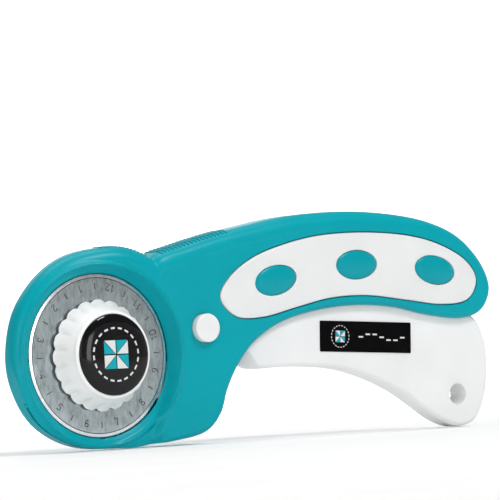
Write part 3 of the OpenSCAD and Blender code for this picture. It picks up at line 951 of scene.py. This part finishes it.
def make_blade():
    """A ring with a ground bevel; on the knob's side, the thin band where the bevel starts is painted
    dark as shade.
    """
    t, flat = BLADE_T / 2, BLADE_R - BEVEL
    profile = [(4.0, -t)]
    profile += [(4.0 + (flat - 4.0) * k / 6, -t) for k in range(1, 7)]
    profile += [(flat + PAINTED_SHADE_BAND, -t + 0.02), (BLADE_R, -0.02), (BLADE_R, 0.02)]
    profile += [(flat - (flat - 4.0) * k / 6, t) for k in range(0, 6)]
    profile += [(4.0, t), (4.0, -t)]
    disc = lathe("blade_skin", profile, 240)
    dress(disc, blade_steel, "blade", ["blade"])
    disc.data.materials.append(blade_edge)
    disc.data.materials.append(marks_and_painted_shade)
    # Faces beyond the band get the bright edge steel; the band itself, on the knob's side only, gets
    # painted shade in the dark mark steel.
    for poly in disc.data.polygons:
        c = Vector(poly.center) - Vector(BLADE_CENTRE)
        reach = math.hypot(c.x, c.z) / MM
        if reach > flat + PAINTED_SHADE_BAND:
            poly.material_index = 1
        elif reach > flat and c.y < 0:
            poly.material_index = 2
    dress(make_dial(), marks_and_painted_shade, "blade")


# ---------------------------------------------------------------- lock button, ribs
def make_button():
    front, flange = CASE_FRONT - BUTTON_TRAVEL - 0.05, CASE_FRONT + WALL + 0.05
    profile = [(0, front + 0.06), (BUTTON_R * 0.55, front)]
    profile += [(BUTTON_R - 0.5 + 0.5 * math.sin(math.radians(a)),
                 front + 0.5 - 0.5 * math.cos(math.radians(a))) for a in range(0, 91, 15)]
    rear = CASE_BACK - BUTTON_TRAVEL + 0.3
    profile += [(BUTTON_R, flange), (FLANGE_R, flange), (FLANGE_R, flange + 0.6),
                (STEM_R, flange + 0.6), (STEM_R, rear - 0.2), (STEM_R - 0.2, rear), (0, rear)]
    button = lathe("lock_button_skin", profile, 96, BUTTON)
    dress(button, white, "lock_button", ["lock_button"])


def rib(points, faces, place, front, depth, turn, radius=0.33, height=0.42):
    """A small half-round rib that runs over the top of the case and down its front edge."""
    x, z, angle = place
    c, s = math.cos(angle), math.sin(angle)
    path = [(depth, 0.0, 0.0), (depth - 0.5, 0.0, 0.0), (front + 4.0, 0.0, 0.0)]
    for k in range(1, 6):
        a = math.radians(turn * k / 5)
        path.append((front + 4.0 * (1 - math.sin(a)), 4.0 * (1 - math.cos(a)), a))
    steps, start = 6, len(points)
    for i, (y, drop, a) in enumerate(path):
        size = 0.3 if i == 0 else 1.0
        for k in range(steps + 1):
            b = math.pi * k / steps
            u, lift = radius * math.cos(b), height * size * math.sin(b) - 0.08
            up, out = lift * math.cos(a) - drop, -lift * math.sin(a)
            points.append((x + u * c - up * s, y + out, z + u * s + up * c))
    n, rows = steps + 1, len(path)
    for row in range(rows - 1):
        for k in range(n):
            m = (k + 1) % n
            faces.append((start + row * n + k, start + row * n + m,
                          start + (row + 1) * n + m, start + (row + 1) * n + k))
    faces.append(tuple(start + k for k in range(n)))
    faces.append(tuple(start + (rows - 1) * n + k for k in reversed(range(n))))


def top_line(points, x_low, x_high, pitch):
    """Even stations along the upper side of an outline, with its direction there."""
    curve = closed_curve(points)
    upper = curve[(curve[:, 0] >= x_low) & (curve[:, 0] <= x_high) & (curve[:, 1] > 20)]
    upper = upper[np.argsort(upper[:, 0])]
    length = np.r_[0, np.cumsum(np.hypot(*np.diff(upper, axis=0).T))]
    for s in np.arange(pitch / 2, length[-1], pitch):
        x, z = np.interp(s, length, upper[:, 0]), np.interp(s, length, upper[:, 1])
        dx = np.interp(s + 0.5, length, upper[:, 0]) - np.interp(s - 0.5, length, upper[:, 0])
        dz = np.interp(s + 0.5, length, upper[:, 1]) - np.interp(s - 0.5, length, upper[:, 1])
        yield x, z, math.atan2(dz, dx)


def make_ribs():
    points, faces = [], []
    for place in top_line(CASE_PTS, 20.5, 45, 1.35):
        rib(points, faces, place, CASE_FRONT, 6.0, 34)
    for place in top_line(GUARD_PTS, 2, 18, 1.2):
        front = -float(front_height(place[0], place[1] - 2))
        rib(points, faces, place, front, 4.4, 14, height=0.38)
    ribs = make_object("thumb_ribs", points, faces)
    clean(ribs)
    dress(ribs, teal, "case")


# ---------------------------------------------------------------- return spring
def make_spring():
    """The coil under the handle's top wall, which the trigger shortens when squeezed; here it is made
    at one fixed length.
    """
    wire, coil, turns = 0.4, 3.0, 6
    low, high = SPRING_LOW + wire + 0.1, SPRING_HIGH - wire - 0.1
    steps, sides = turns * 24, 8
    points, faces = [], []
    for i in range(steps + 1):
        a = 2 * math.pi * turns * i / steps
        for k in range(sides):
            b = 2 * math.pi * k / sides
            r = coil + wire * math.cos(b)
            points.append((SPRING_X + r * math.cos(a), SPLIT + r * math.sin(a),
                           low + (high - low) * i / steps + wire * math.sin(b)))
    for i in range(steps):
        for k in range(sides):
            m = (k + 1) % sides
            faces.append((i * sides + k, (i + 1) * sides + k, (i + 1) * sides + m, i * sides + m))
    faces.append(tuple(range(sides)))
    faces.append(tuple(steps * sides + k for k in reversed(range(sides))))
    spring = make_object("return_spring_skin", points, faces)
    clean(spring)
    dress(spring, wire_steel, "case", ["return_spring"])
    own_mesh(spring)


# ---------------------------------------------------------------- CAD pieces that stay
def dress_cad():
    finish = {"pivot_pin": bolt_steel, "lock_detent_spring": wire_steel,
              "blade_washer": bolt_steel, "wave_washer": wire_steel, "spindle_bolt": bolt_steel,
              "knob_nut": brass, "handle_screws": bolt_steel, "neck_screws": bolt_steel}
    for name, mat in finish.items():
        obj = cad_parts[name]
        obj.data.materials.clear()
        obj.data.materials.append(mat)


# ---------------------------------------------------------------- floor and light
def make_stage():
    """A pale floor that sweeps up into a backdrop all round, far from the object."""
    mat, nodes, links, shader, place = node_material("stage_paper")
    fibre = noise(nodes, links, place.outputs["Object"], 30, 3)
    links.new(ramp(nodes, links, fibre, [(0.3, (0.90, 0.90, 0.90, 1)), (0.7, (0.92, 0.92, 0.92, 1))]),
              shader.inputs["Base Color"])
    shader.inputs["Roughness"].default_value = 0.7
    points, faces = [], []
    floor_r, sweep_r, steps = 1.3, 0.5, 96
    rows = [(0.6, 0.0), (floor_r, 0.0)]
    for i in range(1, 13):
        a = math.radians(90 * i / 12)
        rows.append((floor_r + sweep_r * math.sin(a), sweep_r * (1 - math.cos(a))))
    mesh = bpy.data.meshes.new("stage_floor")
    for r, z in rows:
        for i in range(steps):
            a = 2 * math.pi * i / steps
            points.append((r * math.cos(a), r * math.sin(a), z - 0.0002))
    points.append((0, 0, -0.0002))
    for k in range(len(rows) - 1):
        for i in range(steps):
            j = (i + 1) % steps
            faces.append((k * steps + i, (k + 1) * steps + i, (k + 1) * steps + j, k * steps + j))
    for i in range(steps):
        faces.append((len(points) - 1, i, (i + 1) % steps))
    mesh.from_pydata(points, [], faces)
    mesh.shade_smooth()
    floor = bpy.data.objects.new("stage_floor", mesh)
    bpy.context.scene.collection.objects.link(floor)
    floor.data.materials.append(mat)


def area_light(name, at, look, size, power):
    data = bpy.data.lights.new(name, "AREA")
    data.shape = "RECTANGLE"
    data.size, data.size_y = size
    data.energy = power
    light = bpy.data.objects.new(name, data)
    bpy.context.scene.collection.objects.link(light)
    light.location = at
    light.rotation_mode = "QUATERNION"
    light.rotation_quaternion = (Vector(look) - Vector(at)).to_track_quat("-Z", "Y")


WORLD_STRENGTH = 0.2
MIDDLE = (0, 0, 0.03)
AREA_LIGHTS = [("key", (0.25, -0.75, 0.95), MIDDLE, (0.25, 0.25), 6.6),
               ("fill", (-0.95, -0.6, 0.35), MIDDLE, (0.8, 0.8), 3.8),
               ("front_card", (0.2, -0.88, 0.1), MIDDLE, (0.12, 0.24), 0.4),
               ("backdrop", (0.35, 0.45, 0.8), (1.0, 1.4, 0.2), (0.6, 0.6), 23),
               ("top", (0.05, 0.15, 1.1), MIDDLE, (0.7, 0.5), 5.0),
               ("rim", (0.2, 0.9, 0.6), MIDDLE, (0.9, 0.6), 2.0)]


def make_light():
    """Soft boxes round the tool, in metres and watts, in a dim and even world."""
    scene = bpy.context.scene
    scene.view_settings.view_transform = "Standard"
    world = bpy.data.worlds.new("studio")
    world.use_nodes = True
    world.node_tree.nodes["Background"].inputs["Color"].default_value = (1, 1, 1, 1)
    world.node_tree.nodes["Background"].inputs["Strength"].default_value = WORLD_STRENGTH
    scene.world = world
    for name, at, look, size, power in AREA_LIGHTS:
        area_light(name, at, look, size, power)


# ---------------------------------------------------------------- build
make_case()
make_inlays()
make_trigger()
make_knob()
make_badge()
make_label()
make_blade()
make_button()
make_ribs()
make_spring()
dress_cad()
make_stage()
make_light()
